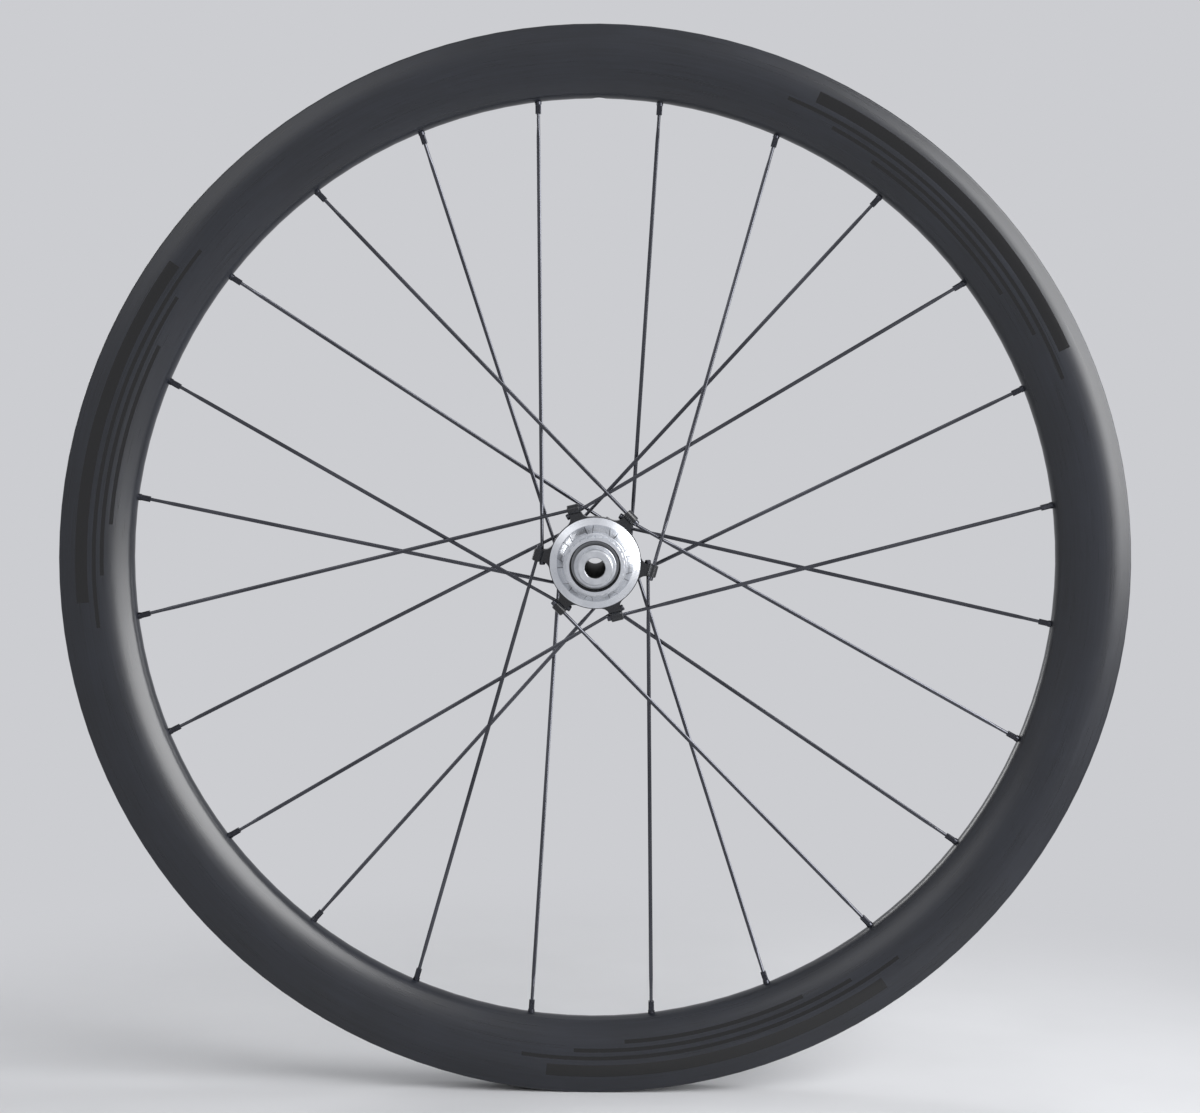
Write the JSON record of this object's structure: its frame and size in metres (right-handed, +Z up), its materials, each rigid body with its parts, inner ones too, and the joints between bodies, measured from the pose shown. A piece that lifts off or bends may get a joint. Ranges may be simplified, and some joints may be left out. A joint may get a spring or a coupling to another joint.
{
  "type": "bicycle wheel",
  "caption": "Front road bicycle wheel with a deep hollow rim, bladed straight-pull spokes and a through-axle disc-brake hub on sealed bearings.",
  "frame": {"origin": "the wheel's middle: on the axle's axis, halfway between the faces that the fork clamps", "axes": "+Y along the axle, away from the disc side; +Z up through the valve hole; +X completes the set"},
  "size_m": [0.633, 0.1, 0.633],
  "materials": {
    "rim_carbon": "matte",
    "spoke_steel": "satin",
    "nipple_alloy": "satin",
    "hub_alloy": "satin",
    "axle_alloy": "satin",
    "cap_alloy": "satin",
    "ring_rubber": "matte",
    "seal_rubber": "matte",
    "cage_plastic": "satin",
    "bearing_steel": "polished"
  },
  "bodies": {
    "axle": {"axle": "axle_alloy", "disc_end_cap": "cap_alloy", "plain_end_cap": "cap_alloy", "disc_oring": "ring_rubber", "plain_oring": "ring_rubber", "disc_bearing_inner_ring": "bearing_steel", "plain_bearing_inner_ring": "bearing_steel"},
    "wheel": {"disc_bearing_left_seal": "seal_rubber", "disc_bearing_outer_ring": "bearing_steel", "disc_bearing_right_seal": "seal_rubber", "disc_leading_spoke_1": "spoke_steel", "disc_leading_spoke_2": "spoke_steel", "disc_leading_spoke_3": "spoke_steel", "disc_leading_spoke_4": "spoke_steel", "disc_leading_spoke_5": "spoke_steel", "disc_leading_spoke_6": "spoke_steel", "disc_trailing_spoke_1": "spoke_steel", "disc_trailing_spoke_2": "spoke_steel", "disc_trailing_spoke_3": "spoke_steel", "disc_trailing_spoke_4": "spoke_steel", "disc_trailing_spoke_5": "spoke_steel", "disc_trailing_spoke_6": "spoke_steel", "hub_shell": "hub_alloy", "nipples": "nipple_alloy", "plain_bearing_left_seal": "seal_rubber", "plain_bearing_outer_ring": "bearing_steel", "plain_bearing_right_seal": "seal_rubber", "plain_leading_spoke_1": "spoke_steel", "plain_leading_spoke_2": "spoke_steel", "plain_leading_spoke_3": "spoke_steel", "plain_leading_spoke_4": "spoke_steel", "plain_leading_spoke_5": "spoke_steel", "plain_leading_spoke_6": "spoke_steel", "plain_trailing_spoke_1": "spoke_steel", "plain_trailing_spoke_2": "spoke_steel", "plain_trailing_spoke_3": "spoke_steel", "plain_trailing_spoke_4": "spoke_steel", "plain_trailing_spoke_5": "spoke_steel", "plain_trailing_spoke_6": "spoke_steel", "rim": "rim_carbon"},
    "disc_balls": {"disc_bearing_balls": "bearing_steel", "disc_bearing_cage": "cage_plastic"},
    "plain_balls": {"plain_bearing_balls": "bearing_steel", "plain_bearing_cage": "cage_plastic"}
  },
  "joints": [
    {"name": "wheel_spin", "type": "hinge", "parent": "axle", "child": "wheel", "pos_m": [0, 0, 0], "axis": [0, 1, 0], "continuous": true},
    {"name": "disc_balls_roll", "type": "hinge", "parent": "axle", "child": "disc_balls", "pos_m": [0, -0.0268, 0], "axis": [0, 1, 0], "continuous": true},
    {"name": "plain_balls_roll", "type": "hinge", "parent": "axle", "child": "plain_balls", "pos_m": [0, 0.0391, 0], "axis": [0, 1, 0], "continuous": true}
  ],
  "couplings": [
    {"joint": "disc_balls_roll", "follows": "wheel_spin", "ratio": 0.58139},
    {"joint": "plain_balls_roll", "follows": "wheel_spin", "ratio": 0.58139}
  ]
}
